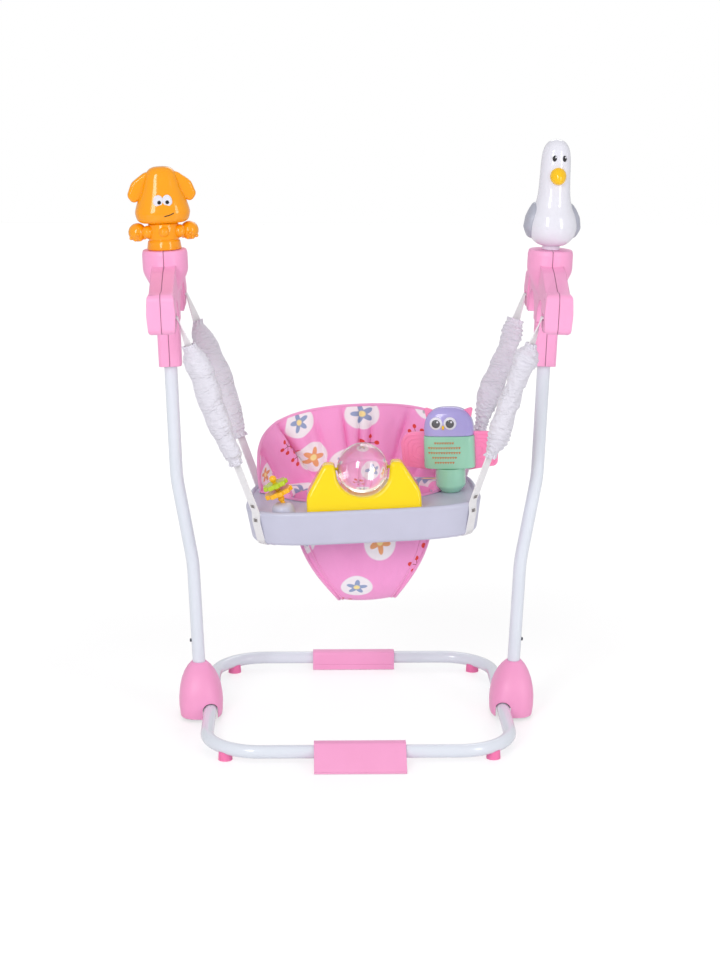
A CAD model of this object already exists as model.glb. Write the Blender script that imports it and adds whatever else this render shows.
"""Looks of a standing baby jumper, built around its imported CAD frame.

All lengths are metres in the CAD frame: +X right, +Y to the rear, +Z up, origin on the floor.
"""

import logging
import math
from dataclasses import dataclass, field
from enum import Enum
from typing import Callable, Iterable, Sequence

import bmesh
import bpy
from mathutils import Matrix, Vector, noise


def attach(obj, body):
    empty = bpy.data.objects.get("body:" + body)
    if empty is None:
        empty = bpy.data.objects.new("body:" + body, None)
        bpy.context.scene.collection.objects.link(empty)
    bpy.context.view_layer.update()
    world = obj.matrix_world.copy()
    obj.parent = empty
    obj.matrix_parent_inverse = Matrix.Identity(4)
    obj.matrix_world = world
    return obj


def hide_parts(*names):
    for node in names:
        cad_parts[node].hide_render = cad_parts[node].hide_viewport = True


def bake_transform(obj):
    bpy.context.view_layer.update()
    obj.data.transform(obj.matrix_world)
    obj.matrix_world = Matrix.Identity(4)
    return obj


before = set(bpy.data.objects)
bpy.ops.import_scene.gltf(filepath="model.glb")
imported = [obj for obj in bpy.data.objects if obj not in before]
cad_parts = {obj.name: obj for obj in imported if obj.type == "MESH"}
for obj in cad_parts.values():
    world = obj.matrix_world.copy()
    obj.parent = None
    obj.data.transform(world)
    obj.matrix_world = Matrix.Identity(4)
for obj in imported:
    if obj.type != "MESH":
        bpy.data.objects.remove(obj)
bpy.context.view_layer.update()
LOG = logging.getLogger("jumper")

Point2 = tuple[float, float]
Point3 = tuple[float, float, float]
Corner = tuple[float, float, float]
Colour = tuple[int, int, int]
Place = Callable[[float, float], Vector]


class Side(Enum):
    """Left or right half of the object, seen from the front."""

    LEFT = -1
    RIGHT = 1


class End(Enum):
    """Front or rear of the object."""

    FRONT = -1
    REAR = 1


STRAP_PLACES = tuple((side, end) for side in Side for end in End)


# Small sums


def spow(value: float, power: float) -> float:
    """Power of a number's size, with its sign kept."""
    return math.copysign(abs(value) ** power, value)


def mix(a: float, b: float, t: float) -> float:
    """Value between a and b."""
    return a + (b - a) * t


def hump(x: float, centre: float, width: float) -> float:
    """Smooth bump of height 1 round a centre."""
    return math.exp(-(((x - centre) / width) ** 2))


def smooth(t: float) -> float:
    """Smooth step from 0 to 1."""
    t = min(max(t, 0.0), 1.0)
    return t * t * (3 - 2 * t)


def sampled(values: Sequence[float], t: float) -> float:
    """Value of a smooth curve through equally spaced values.

    Args:
        values: The values that the curve passes through.
        t: Place along the curve, 0 to 1.

    Returns:
        The curve's value there.
    """
    x = min(max(t, 0.0), 1.0) * (len(values) - 1)
    i = min(int(x), len(values) - 2)
    f = x - i
    a = values[max(i - 1, 0)]
    b, c = values[i], values[i + 1]
    d = values[min(i + 2, len(values) - 1)]
    return b + 0.5 * f * (c - a + f * (2 * a - 5 * b + 4 * c - d + f * (3 * (b - c) + d - a)))


def between(places: Sequence[float], values: Sequence[float], at: float) -> float:
    """Value at a place among rising ones, on straight lines between them.

    Args:
        places: The rising places, of which the last two are the same.
        values: The value at each place.
        at: The place asked for.

    Returns:
        The value there.
    """
    i = max(k for k, place in enumerate(places[:-2]) if place <= max(at, 0.0))
    return mix(values[i], values[i + 1], (at - places[i]) / (places[i + 1] - places[i]))


def fillet(points: Sequence[Corner], steps: int = 5) -> list[Point2]:
    """Open outline with its inner corners rounded.

    Args:
        points: Corners as (x, y, radius); the radius of the two ends isn't used.
        steps: Segments of each rounded corner.

    Returns:
        The outline's points.
    """
    made: list[Point2] = [points[0][:2]]
    for before, corner, after in zip(points, points[1:], points[2:]):
        p = Vector(corner[:2])
        u = (Vector(before[:2]) - p).normalized()
        v = (Vector(after[:2]) - p).normalized()
        half = u.angle(v) / 2
        if corner[2] <= 0 or half > math.pi / 2 - 1e-4:
            made.append(corner[:2])
            continue
        reach = corner[2] / math.tan(half)
        centre = p + (u + v).normalized() * corner[2] / math.sin(half)
        a, b = p + u * reach - centre, p + v * reach - centre
        for i in range(steps + 1):
            spoke = a.slerp(b, i / steps).normalized() * corner[2]
            made.append((centre.x + spoke.x, centre.y + spoke.y))
    made.append(points[-1][:2])
    return made


def tilt(angle: float, axis: str) -> Matrix:
    """Turn by an angle in degrees about a named axis."""
    return Matrix.Rotation(math.radians(angle), 4, axis)


def shift(x: float, y: float, z: float) -> Matrix:
    """Move by a distance along each axis."""
    return Matrix.Translation((x, y, z))


# Places on the object


@dataclass
class Layout:
    """Where the heads and the hanging seat are."""

    head_at: Point3 = (0.35934, 0.0, 0.7068)
    head_lean: float = 2.0
    head_rise: float = 0.2225
    seat_at: Point3 = (0.010, 0.0, 0.4595)
    seat_lean: float = 2.6

    def seat(self) -> Matrix:
        """Frame of the hanging seat, with the tray's rim at zero height."""
        return shift(*self.seat_at) @ tilt(-self.seat_lean, "Y")

    def head(self, side: Side) -> Matrix:
        """Frame of a head, at the lower end of its stem; local X points outwards."""
        flip = Matrix.Scale(side.value, 4, (1, 0, 0))
        return flip @ shift(*self.head_at) @ tilt(self.head_lean, "Y")

    def platform(self, side: Side, turn: float) -> Matrix:
        """Frame of the toy on a head, turned by an angle in degrees."""
        top = self.head(side) @ Vector((0, 0, self.head_rise))
        return shift(*top) @ tilt(side.value * self.head_lean, "Y") @ tilt(turn, "Z")


LAYOUT = Layout()


# Shader graphs


class Sock:
    """An output socket whose arithmetic adds Math nodes."""

    def __init__(self, graph: "Tree", socket: bpy.types.NodeSocket) -> None:
        """Wraps one output socket of a graph."""
        self.graph = graph
        self.socket = socket

    def math(self, operation: str, *others: "Sock | float", swap: bool = False) -> "Sock":
        """Math node on this socket and up to two other values.

        Args:
            operation: The Math node's operation.
            others: The other values.
            swap: Puts the first other value before this one.

        Returns:
            The node's result.
        """
        values = [others[0], self, *others[1:]] if swap else [self, *others]
        return self.graph.add("ShaderNodeMath", {"operation": operation}, dict(enumerate(values)))

    def __add__(self, other: "Sock | float") -> "Sock":
        """Sum."""
        return self.math("ADD", other)

    __radd__ = __add__

    def __sub__(self, other: "Sock | float") -> "Sock":
        """Difference."""
        return self.math("SUBTRACT", other)

    def __rsub__(self, other: "Sock | float") -> "Sock":
        """Difference from a number."""
        return self.math("SUBTRACT", other, swap=True)

    def __mul__(self, other: "Sock | float") -> "Sock":
        """Product."""
        return self.math("MULTIPLY", other)

    __rmul__ = __mul__

    def __truediv__(self, other: "Sock | float") -> "Sock":
        """Quotient."""
        return self.math("DIVIDE", other)

    def below(self, edge: "Sock | float", soft: float) -> "Sock":
        """Mask that is 1 where this value is below an edge, with a soft step."""
        return ((edge - self) / soft + 0.5).clamped()

    def clamped(self) -> "Sock":
        """Value held between 0 and 1."""
        return self.math("MAXIMUM", 0.0).math("MINIMUM", 1.0)


class Tree:
    """Node tree in the making."""

    def __init__(self, tree: bpy.types.NodeTree) -> None:
        """Starts with an empty tree."""
        self.tree = tree
        tree.nodes.clear()

    def node(self, kind: str, settings: dict | None = None, values: dict | None = None) -> bpy.types.Node:
        """Node of any type.

        Args:
            kind: The node's type.
            settings: The node's own settings, set before its sockets.
            values: Numbers, colours or sockets by input name or number.

        Returns:
            The node.
        """
        node = self.tree.nodes.new(kind)
        for key, value in (settings or {}).items():
            setattr(node, key, value)
        for key, value in (values or {}).items():
            self.feed(node.inputs[key], value)
        return node

    def add(
        self, kind: str, settings: dict | None = None, values: dict | None = None, out: int | str = 0,
    ) -> Sock:
        """One output of a new node of any type.

        Args:
            kind: The node's type.
            settings: The node's own settings, set before its sockets.
            values: Numbers, colours or sockets by input name or number.
            out: The output to return.

        Returns:
            The chosen output.
        """
        return Sock(self, self.node(kind, settings, values).outputs[out])

    def feed(self, socket: bpy.types.NodeSocket, value: object) -> None:
        """Links or sets one input socket."""
        if isinstance(value, Sock):
            self.tree.links.new(value.socket, socket)
        else:
            socket.default_value = value

    def seen(self, *kinds: str) -> Sock:
        """Mask that is 1 for the named kinds of rays.

        Args:
            kinds: The kinds, as the Light Path node names them.

        Returns:
            The mask.
        """
        path = self.node("ShaderNodeLightPath")
        first, *rest = (Sock(self, path.outputs[f"Is {kind} Ray"]) for kind in kinds)
        return sum(rest, first).clamped()


class Graph(Tree):
    """Node tree of one material, round a Principled shader."""

    def __init__(self, name: str) -> None:
        """Starts an empty material with its shader and output."""
        self.material = bpy.data.materials.new(name)
        self.material.use_nodes = True
        super().__init__(self.material.node_tree)
        self.shader = self.node("ShaderNodeBsdfPrincipled")
        self.node("ShaderNodeOutputMaterial", {}, {0: Sock(self, self.shader.outputs[0])})

    def surface(self, **values: object) -> None:
        """Feeds the shader's inputs, named with underscores for spaces."""
        for key, value in values.items():
            self.feed(self.shader.inputs[key.replace("_", " ").title().replace("Ior", "IOR")], value)

    def place(self, source: str = "Object") -> Sock:
        """Object coordinates, or the piece's own UV map."""
        return self.add("ShaderNodeTexCoord", out=source)

    def noise(self, where: Sock, scale: float, detail: float = 2.0) -> Sock:
        """Noise of about 0 to 1."""
        return self.add("ShaderNodeTexNoise", {}, {"Vector": where, "Scale": scale, "Detail": detail})

    def blend(self, factor: Sock, a: object, b: object) -> Sock:
        """Colour between two colours."""
        values = {0: factor, 6: a, 7: b}
        return self.add("ShaderNodeMix", {"data_type": "RGBA"}, values, out=2)

    def bump(self, height: Sock, distance: float, strength: float = 1.0, edge: float = 0.0) -> Sock:
        """Normal bent by a height.

        Args:
            height: The height.
            distance: Depth of the bumps.
            strength: Share of the bumps that shows.
            edge: Radius by which sharp edges look rounded, or 0.

        Returns:
            The normal.
        """
        values = {"Height": height, "Distance": distance, "Strength": strength}
        if edge > 0:
            values["Normal"] = self.add("ShaderNodeBevel", {"samples": 6}, {"Radius": edge})
        return self.add("ShaderNodeBump", {}, values)

    def split(self, vector: Sock) -> tuple[Sock, Sock, Sock]:
        """The three parts of a vector."""
        parts = self.node("ShaderNodeSeparateXYZ", {}, {0: vector})
        return tuple(Sock(self, output) for output in parts.outputs)


def linear(colour: Colour, gain: float = 1.0) -> tuple[float, float, float, float]:
    """Linear colour of an 8-bit display colour.

    Args:
        colour: Red, green and blue, 0 to 255.
        gain: Share by which the light is changed.

    Returns:
        Red, green, blue and alpha for a node's socket.
    """
    parts = [c / 255 for c in colour]
    light = [p / 12.92 if p <= 0.04045 else ((p + 0.055) / 1.055) ** 2.4 for p in parts]
    return (*(min(p * gain, 1.0) for p in light), 1.0)


# Finishes


@dataclass(frozen=True)
class Finish:
    """A surface finish; its material is made on first use."""

    name: str
    slot: str
    colour: Colour
    roughness: float

    def material(self) -> bpy.types.Material:
        """The finish's material."""
        found = bpy.data.materials.get(self.name)
        if found is None:
            graph = Graph(self.name)
            self.shade(graph)
            found = graph.material
        return found

    def shade(self, graph: Graph) -> None:
        """Fills the material's graph."""
        raise NotImplementedError

    def cloudy(self, graph: Graph, scale: float, share: float) -> Sock:
        """The colour with a faint cloudy change of light.

        Args:
            graph: The material's graph.
            scale: Clouds to a metre.
            share: How far the light changes, as a share.

        Returns:
            The colour's socket.
        """
        cloud = graph.noise(graph.place(), scale, 3.0)
        return graph.blend(cloud, linear(self.colour, 1 - share), linear(self.colour, 1 + share))

    def uneven(self, pattern: Sock, spread: float) -> Sock:
        """Roughness that a pattern of 0 to 1 spreads round the finish's own."""
        return pattern * spread + (self.roughness - spread / 2)


@dataclass(frozen=True)
class Moulded(Finish):
    """Moulded plastic: fine spark-eroded grain, or gloss with a clear coat."""

    grain: float = 0.05
    coat: float = 0.0
    mottle: float = 0.05
    edge: float = 0.0
    clouds: float = 18.0
    grain_scale: float = 1600.0
    grain_depth: float = 0.0002
    grain_spread: float = 0.1
    flow_scale: float = 60.0
    flow_spread: float = 0.06
    specular: float = 0.5
    coat_dulls: float = 0.45
    coat_roughness: float = 0.06

    def tint(self, graph: Graph) -> Sock:
        """The moulding's colour."""
        return self.cloudy(graph, self.clouds, self.mottle)

    def shade(self, graph: Graph) -> None:
        """Fills the material's graph."""
        where = graph.place()
        fine = graph.noise(where, self.grain_scale)
        flow = graph.noise(where, self.flow_scale)
        graph.surface(
            base_color=self.tint(graph),
            roughness=self.uneven(fine, self.grain_spread) + (flow - 0.5) * self.flow_spread,
            specular_ior_level=self.specular - self.coat_dulls * self.coat,
            coat_weight=self.coat,
            coat_roughness=self.coat_roughness,
            normal=graph.bump(fine + flow * 2.0, self.grain_depth, self.grain, self.edge),
        )


@dataclass(frozen=True)
class Seamed(Moulded):
    """Two moulded shells that meet in a dark line on a leaning upright plane, alike on both sides."""

    foot: Point2 = (0.0, 0.0)
    lean: float = 0.0
    line: float = 0.0007
    line_soft: float = 0.0006
    line_light: float = 0.6

    def tint(self, graph: Graph) -> Sock:
        """The moulding's colour with its dark parting line.

        Args:
            graph: The material's graph.

        Returns:
            The colour's socket.
        """
        x, _, z = graph.split(graph.place())
        turn = math.radians(self.lean)
        away = (x.math("ABSOLUTE") - self.foot[0]) * math.cos(turn) - (z - self.foot[1]) * math.sin(turn)
        groove = away.math("ABSOLUTE").below(self.line, self.line_soft)
        return graph.blend(groove, super().tint(graph), linear(self.colour, self.line_light))


@dataclass(frozen=True)
class Painted(Finish):
    """Powder-coated tube with a slight orange peel."""

    clouds: float = 9.0
    mottle: float = 0.03
    peel: float = 0.12
    peel_scale: float = 420.0
    peel_depth: float = 0.0003
    peel_spread: float = 0.08
    coat: float = 0.6
    coat_roughness: float = 0.07

    def shade(self, graph: Graph) -> None:
        """Fills the material's graph."""
        peel = graph.noise(graph.place(), self.peel_scale, 1.0)
        graph.surface(
            base_color=self.cloudy(graph, self.clouds, self.mottle),
            roughness=self.uneven(peel, self.peel_spread),
            coat_weight=self.coat,
            coat_roughness=self.coat_roughness,
            normal=graph.bump(peel, self.peel_depth, self.peel),
        )


@dataclass(frozen=True)
class Plated(Finish):
    """Zinc-plated steel with fine drawing lines."""

    clouds: float = 40.0
    mottle: float = 0.12
    drawn: float = 0.3
    line_scale: float = 900.0
    line_depth: float = 0.0001
    line_spread: float = 0.2

    def shade(self, graph: Graph) -> None:
        """Fills the material's graph."""
        lines = graph.noise(graph.place(), self.line_scale, 4.0)
        graph.surface(
            base_color=self.cloudy(graph, self.clouds, self.mottle),
            metallic=1.0,
            roughness=self.uneven(lines, self.line_spread),
            normal=graph.bump(lines, self.line_depth, self.drawn),
        )


@dataclass(frozen=True)
class Clear(Finish):
    """Clear plastic shell."""

    haze: float = 0.02
    haze_scale: float = 70.0
    index: float = 1.14
    coat_roughness: float = 0.02

    def shade(self, graph: Graph) -> None:
        """Fills the material's graph."""
        graph.surface(
            base_color=linear(self.colour),
            roughness=graph.noise(graph.place(), self.haze_scale) * self.haze + self.roughness,
            transmission_weight=1.0,
            ior=self.index,
            coat_weight=1.0,
            coat_roughness=self.coat_roughness,
        )


@dataclass(frozen=True)
class Woven(Finish):
    """Woven cloth whose threads follow the piece's own UV map, which is in metres."""

    threads: float = 900.0
    depth: float = 0.0004
    sheen: float = 0.25
    crumple: float = 0.0
    creases: Point2 = (18.0, 60.0)
    light: Point2 = (0.88, 1.04)
    slub_scale: float = 260.0
    slub_spread: float = 0.1

    def weave(self, graph: Graph) -> Sock:
        """Height of a plain weave over the UV map.

        Args:
            graph: The material's graph.

        Returns:
            Height of about 0 to 1.
        """
        u, v, _ = graph.split(graph.place("UV"))
        wave_u = (u * (self.threads * math.pi)).math("SINE")
        wave_v = (v * (self.threads * math.pi)).math("SINE")
        return wave_u * wave_v * 0.5 + 0.5

    def cloth_colour(self, graph: Graph, weave: Sock) -> Sock:
        """The cloth's colour, darker between its threads."""
        return graph.blend(weave, *(linear(self.colour, gain) for gain in self.light))

    def shade(self, graph: Graph) -> None:
        """Fills the material's graph."""
        weave = self.weave(graph)
        slub = graph.noise(graph.place(), self.slub_scale, 3.0)
        stretch = {0: graph.place("UV"), 1: (*self.creases, 0.0)}
        stretched = graph.add("ShaderNodeVectorMath", {"operation": "MULTIPLY"}, stretch)
        crease = (graph.noise(stretched, 1.0) - 0.5).math("ABSOLUTE")
        threads = (weave + slub * 0.6) * (self.depth * 0.5)
        graph.surface(
            base_color=self.cloth_colour(graph, weave * 0.7 + slub * 0.3),
            roughness=self.uneven(slub, self.slub_spread),
            sheen_weight=self.sheen,
            normal=graph.bump(threads + crease * self.crumple, 1.0),
        )


@dataclass(frozen=True)
class Printed(Woven):
    """Printed cloth: white dots with a flower in each, and wheels of small beads between them.

    The pitches are in metres, and the motifs' own sizes in pitches.
    """

    light: Point2 = (0.94, 1.05)
    dot_pitch: float = 0.124
    dot_scatter: float = 0.55
    dot_radius: float = 0.25
    dot_soft: float = 0.02
    dot_colour: Colour = (250, 243, 249)
    petals: float = 5.0
    petal_share: float = 0.68
    petal_notch: float = 0.28
    petal_colours: tuple[Colour, Colour, Colour] = ((150, 166, 205), (188, 183, 194), (242, 168, 116))
    heart_share: float = 0.2
    heart_colour: Colour = (255, 232, 160)
    wheel_pitch: float = 0.083
    wheel_scatter: float = 0.9
    wheel_radius: float = 0.17
    wheel_above: float = 0.62
    wheel_soft: float = 0.012
    beads: int = 5
    bead_radius: float = 0.052
    bead_colour: Colour = (226, 58, 50)
    spoke_half: float = 0.008
    spoke_colour: Colour = (150, 66, 62)

    def cloth_colour(self, graph: Graph, weave: Sock) -> Sock:
        """The ground colour under its print."""
        where = graph.place("UV")
        return self.dots(graph, where, self.wheels(graph, where, super().cloth_colour(graph, weave)))

    def cell(self, graph: Graph, where: Sock, pitch: float, scatter: float) -> tuple[Sock, Sock, Sock]:
        """Distance, angle and colour of the nearest motif's middle.

        Args:
            graph: The material's graph.
            where: The UV map.
            pitch: Distance between motifs.
            scatter: How far the motifs leave their grid, 0 to 1.

        Returns:
            Distance in pitches, angle in radians and a colour of the motif's own.
        """
        values = {"Vector": where, "Scale": 1 / pitch, "Randomness": scatter}
        motifs = graph.node("ShaderNodeTexVoronoi", {"voronoi_dimensions": "2D"}, values)
        middle, own = (Sock(graph, motifs.outputs[name]) for name in ("Position", "Color"))
        across, centre = (
            graph.add("ShaderNodeVectorMath", {"operation": "SCALE"}, {0: place, "Scale": 1 / pitch})
            for place in (where, middle)
        )
        off = graph.add("ShaderNodeVectorMath", {"operation": "SUBTRACT"}, {0: across, 1: centre})
        x, y, _ = graph.split(off)
        return (x * x + y * y).math("SQRT"), y.math("ARCTAN2", x), own

    def dots(self, graph: Graph, where: Sock, ground: Sock) -> Sock:
        """White dots, each with a flower of its own colour.

        Args:
            graph: The material's graph.
            where: The UV map.
            ground: The colour under the dots.

        Returns:
            The colour with the dots.
        """
        away, angle, own = self.cell(graph, where, self.dot_pitch, self.dot_scatter)
        r, g, _ = graph.split(own)
        disc = away.below(self.dot_radius, self.dot_soft)
        lobes = (angle * self.petals + r * 6.0).math("COSINE") * self.petal_notch + (1 - self.petal_notch)
        petal = away.below(lobes * (self.dot_radius * self.petal_share), self.dot_soft)
        heart = away.below(self.dot_radius * self.heart_share, self.dot_soft)
        blue, grey, apricot = (linear(colour) for colour in self.petal_colours)
        cool = graph.blend(g.math("GREATER_THAN", 0.5), blue, grey)
        bloom = graph.blend(r.math("GREATER_THAN", 0.66), cool, apricot)
        pale = graph.blend(disc, ground, linear(self.dot_colour))
        return graph.blend(heart, graph.blend(petal, pale, bloom), linear(self.heart_colour))

    def wheels(self, graph: Graph, where: Sock, ground: Sock) -> Sock:
        """Red beads on the spokes of a small wheel, in about every third cell.

        Args:
            graph: The material's graph.
            where: The UV map.
            ground: The colour under the wheels.

        Returns:
            The colour with the wheels.
        """
        away, angle, own = self.cell(graph, where, self.wheel_pitch, self.wheel_scatter)
        r, g, _ = graph.split(own)
        shown = r.math("GREATER_THAN", self.wheel_above)
        sector = math.tau / self.beads
        fold = ((angle / sector + g * 3.0 + 0.5).math("FRACT") - 0.5) * sector
        along, aside = away * fold.math("COSINE"), away * fold.math("SINE")
        out = along - self.wheel_radius
        bead = (out * out + aside * aside).math("SQRT").below(self.bead_radius, self.wheel_soft) * shown
        near = along.below(self.wheel_radius, self.wheel_soft)
        spoke = aside.math("ABSOLUTE").below(self.spoke_half, self.spoke_half) * near * shown
        twig = graph.blend(spoke, ground, linear(self.spoke_colour))
        return graph.blend(bead, twig, linear(self.bead_colour))


class Finishes:
    """The finishes of this jumper."""

    TUBE = Painted("tube_paint", "tube", (228, 233, 243), 0.24)
    PINK = Moulded("frame_plastic", "frame_pink", (255, 164, 210), 0.42, 0.06, edge=0.002)
    HEAD = Seamed("head_plastic", "frame_pink", (255, 170, 214), 0.42, 0.06, edge=0.003,
                  foot=(LAYOUT.head_at[0], LAYOUT.head_at[2]), lean=LAYOUT.head_lean)
    PAD = Moulded("pad_plastic", "frame_pink", (255, 168, 213), 0.46, 0.08, edge=0.002)
    FOOT = Moulded("foot_plastic", "frame_pink", (250, 125, 180), 0.5, 0.08)
    STEEL = Plated("plated_steel", "steel", (170, 172, 178), 0.35)
    BUTTON = Moulded("button_plastic", "button", (70, 74, 84), 0.4)
    TRAY = Moulded("tray_plastic", "tray", (199, 199, 219), 0.36, 0.05)
    YELLOW = Moulded("yellow_plastic", "yellow", (255, 220, 4), 0.16, 0.02, 0.8, 0.03)
    ORANGE = Moulded("orange_plastic", "orange", (255, 163, 4), 0.18, 0.02, 0.7, 0.03)
    LIME = Moulded("lime_plastic", "lime", (188, 212, 40), 0.24, 0.03, 0.4)
    AMBER = Moulded("amber_plastic", "yellow", (255, 186, 30), 0.24, 0.03, 0.4)
    MINT = Moulded("mint_plastic", "mint", (158, 214, 188), 0.2, 0.02, 0.6, 0.03)
    PURPLE = Moulded("purple_plastic", "purple", (178, 168, 228), 0.18, 0.02, 0.7, 0.03)
    WING = Moulded("wing_plastic", "wing_pink", (255, 136, 186), 0.46, 0.08)
    PEARL = Moulded("pearl_plastic", "pearl", (233, 232, 242), 0.16, 0.02, 0.7, 0.03)
    GREY = Moulded("grey_plastic", "grey", (176, 178, 192), 0.34, 0.04)
    BEAK = Moulded("beak_plastic", "yellow", (255, 198, 8), 0.2, 0.02, 0.6)
    BLACK = Moulded("black_plastic", "button", (26, 26, 30), 0.12, 0.02, 0.8)
    PUPIL = Moulded("pupil_plastic", "button", (92, 92, 96), 0.14, 0.02, 0.8)
    MARK = Moulded("mark_plastic", "orange", (206, 120, 62), 0.4)
    CLEAR = Clear("clear_plastic", "clear", (255, 255, 255), 0.01)
    CLIP = Moulded("clip_plastic", "clip", (214, 210, 222), 0.4)
    THREAD = Woven("dark_thread", "clip", (96, 82, 78), 0.8, 2400.0)
    WEBBING = Woven("webbing_cloth", "webbing", (243, 241, 244), 0.75, 700.0, 0.0005)
    SLEEVE = Woven("sleeve_cloth", "sleeve", (232, 229, 240), 0.8, 1500.0, 0.0003,
                   crumple=0.009, creases=(36.0, 84.0))
    PRINT = Printed("printed_cloth", "seat_fabric", (255, 162, 219), 0.72, 1700.0, 0.0002,
                    crumple=0.006, creases=(26.0, 12.0))
    LINING = Woven("lining_cloth", "seat_fabric", (255, 166, 217), 0.75, 1500.0, 0.0002)


# Meshes in the making


class Mould:
    """A mesh in the making, with the operators that shape it."""

    WELD_GAP = 1e-6
    CAD_GAP = 2e-6
    CAD_FLAT = math.radians(0.6)

    def __init__(self) -> None:
        """Starts an empty mesh with a UV map."""
        self.bm = bmesh.new()
        self.uv = self.bm.loops.layers.uv.new("cut")

    @classmethod
    def patch(
        cls, place: Place, across: int, along: int, size: Point2 = (1.0, 1.0), weld: bool = True,
        chart: Callable[[float, float], Point2] | None = None,
    ) -> "Mould":
        """Sheet bent from a flat grid.

        Args:
            place: Gives the point for a place on the sheet, both numbers 0 to 1.
            across: Faces across the sheet.
            along: Faces along the sheet.
            size: The flat sheet's width and length, which the UV map holds.
            weld: Joins edges that come to lie on each other.
            chart: Gives the UV map's place instead, for a cut that isn't a rectangle.

        Returns:
            The mesh.
        """
        mould = cls()
        bmesh.ops.create_grid(mould.bm, x_segments=across, y_segments=along, size=0.5)
        for face in mould.bm.faces:
            for loop in face.loops:
                u, v = loop.vert.co.x + 0.5, loop.vert.co.y + 0.5
                loop[mould.uv].uv = chart(u, v) if chart else (u * size[0], v * size[1])
        for vert in mould.bm.verts:
            vert.co = place(vert.co.x + 0.5, vert.co.y + 0.5)
        if weld:
            mould.weld()
        return mould.outward()

    @classmethod
    def lathe(cls, profile: Sequence[Point2], steps: int = 48) -> "Mould":
        """Outline spun round Z.

        Args:
            profile: The outline as (radius, height).
            steps: Faces round the axis.

        Returns:
            The mesh.
        """
        mould = cls()
        verts = [mould.bm.verts.new((r, 0, z)) for r, z in profile]
        edges = [mould.bm.edges.new(pair) for pair in zip(verts, verts[1:])]
        bmesh.ops.spin(
            mould.bm, geom=verts + edges, cent=(0, 0, 0), axis=(0, 0, 1), angle=math.tau,
            steps=steps, use_merge=True,
        )
        mould.weld()
        return mould.outward()

    @classmethod
    def plate(cls, outline: Sequence[Point2], thick: float) -> "Mould":
        """Flat outline, extruded through the depth.

        Args:
            outline: The outline's width and height at each corner.
            thick: The plate's thickness, half of it on each side of zero depth.

        Returns:
            The mesh.
        """
        mould = cls()
        face = mould.bm.faces.new([mould.bm.verts.new((x, -thick / 2, z)) for x, z in outline])
        grown = bmesh.ops.extrude_face_region(mould.bm, geom=[face])["geom"]
        moved = [g for g in grown if isinstance(g, bmesh.types.BMVert)]
        bmesh.ops.translate(mould.bm, verts=moved, vec=(0, thick, 0))
        return mould.outward()

    @classmethod
    def ball(cls, radius: float, steps: int = 24) -> "Mould":
        """Ball round the origin."""
        mould = cls()
        bmesh.ops.create_uvsphere(mould.bm, u_segments=steps * 2, v_segments=steps, radius=radius)
        return mould

    @classmethod
    def copy(cls, node: str) -> "Mould":
        """Merged copy of a CAD node's mesh.

        Args:
            node: The CAD node.

        Returns:
            The mesh.
        """
        mould = cls()
        mould.bm.from_mesh(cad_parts[node].data)
        bmesh.ops.remove_doubles(mould.bm, verts=mould.bm.verts, dist=cls.CAD_GAP)
        bmesh.ops.dissolve_limit(
            mould.bm, angle_limit=cls.CAD_FLAT, verts=mould.bm.verts, edges=mould.bm.edges,
        )
        return mould

    @staticmethod
    def together(moulds: Sequence["Mould"]) -> "Mould":
        """One mesh of several."""
        return moulds[0].joined(moulds[1:])

    def kept(self, inside: Callable[[Vector], bool]) -> "Mould":
        """Keeps only the points that pass a test, with their faces."""
        bmesh.ops.delete(self.bm, geom=[v for v in self.bm.verts if not inside(v.co)], context="VERTS")
        return self

    def weld(self) -> "Mould":
        """Joins points that lie on each other."""
        bmesh.ops.remove_doubles(self.bm, verts=self.bm.verts, dist=self.WELD_GAP)
        return self

    def capped(self) -> "Mould":
        """Closes the open ends."""
        bmesh.ops.holes_fill(self.bm, edges=[e for e in self.bm.edges if e.is_boundary], sides=0)
        return self.outward()

    def outward(self) -> "Mould":
        """Turns the faces outwards."""
        bmesh.ops.recalc_face_normals(self.bm, faces=self.bm.faces)
        return self

    def moved(self, matrix: Matrix) -> "Mould":
        """Puts the mesh in its place; a mirrored one is turned outwards again."""
        bmesh.ops.transform(self.bm, matrix=matrix, verts=self.bm.verts)
        if matrix.determinant() < 0:
            bmesh.ops.reverse_faces(self.bm, faces=self.bm.faces)
        return self

    def bevelled(self, width: float, segments: int = 3, angle: float = 40.0, above: float = -1.0) -> "Mould":
        """Rounds the sharp edges.

        Args:
            width: Width of the rounding.
            segments: Its segments.
            angle: Edges sharper than this many degrees are rounded.
            above: Edges that lie wholly below this height stay sharp.

        Returns:
            The mesh.
        """
        limit = math.radians(angle)
        sharp = [
            e for e in self.bm.edges
            if len(e.link_faces) == 2 and e.calc_face_angle() > limit and max(v.co.z for v in e.verts) > above
        ]
        bmesh.ops.bevel(
            self.bm, geom=sharp, offset=width, offset_type="OFFSET", affect="EDGES", segments=segments,
            profile=0.5, material=-1, clamp_overlap=False,
        )
        return self

    def thickened(self, thick: float) -> "Mould":
        """Gives a sheet a thickness, to the inner side of its faces."""
        bmesh.ops.solidify(self.bm, geom=self.bm.faces[:], thickness=thick)
        return self

    def joined(self, others: Iterable["Mould"]) -> "Mould":
        """Adds other meshes to this one."""
        for other in others:
            spare = bpy.data.meshes.new("spare")
            other.bm.to_mesh(spare)
            other.bm.free()
            self.bm.from_mesh(spare)
            bpy.data.meshes.remove(spare)
        return self

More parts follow.
